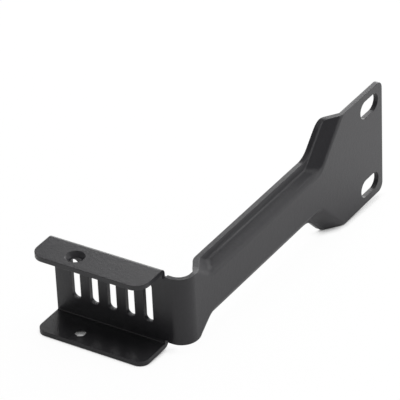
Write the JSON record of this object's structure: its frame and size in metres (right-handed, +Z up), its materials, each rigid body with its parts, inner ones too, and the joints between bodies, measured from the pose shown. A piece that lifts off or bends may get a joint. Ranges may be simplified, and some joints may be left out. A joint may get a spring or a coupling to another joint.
{
  "type": "rack mount ear bracket",
  "caption": "Folded sheet steel rack ear with a ribbed arm and a vented side plate with two flanges, for hanging a narrow device in a rack.",
  "frame": {"origin": "midway between the two rack slots, on the rear face of the ear, which meets the rack rail", "axes": "+X along the arm from the device to the outer edge of the ear, +Y to the rear of the rack, +Z up"},
  "size_m": [0.1422, 0.0518, 0.044],
  "materials": {
    "powder_coat": "satin black powder coat with a fine even texture"
  },
  "bodies": {
    "root": {"ear_bracket": "powder_coat"}
  },
  "joints": []
}
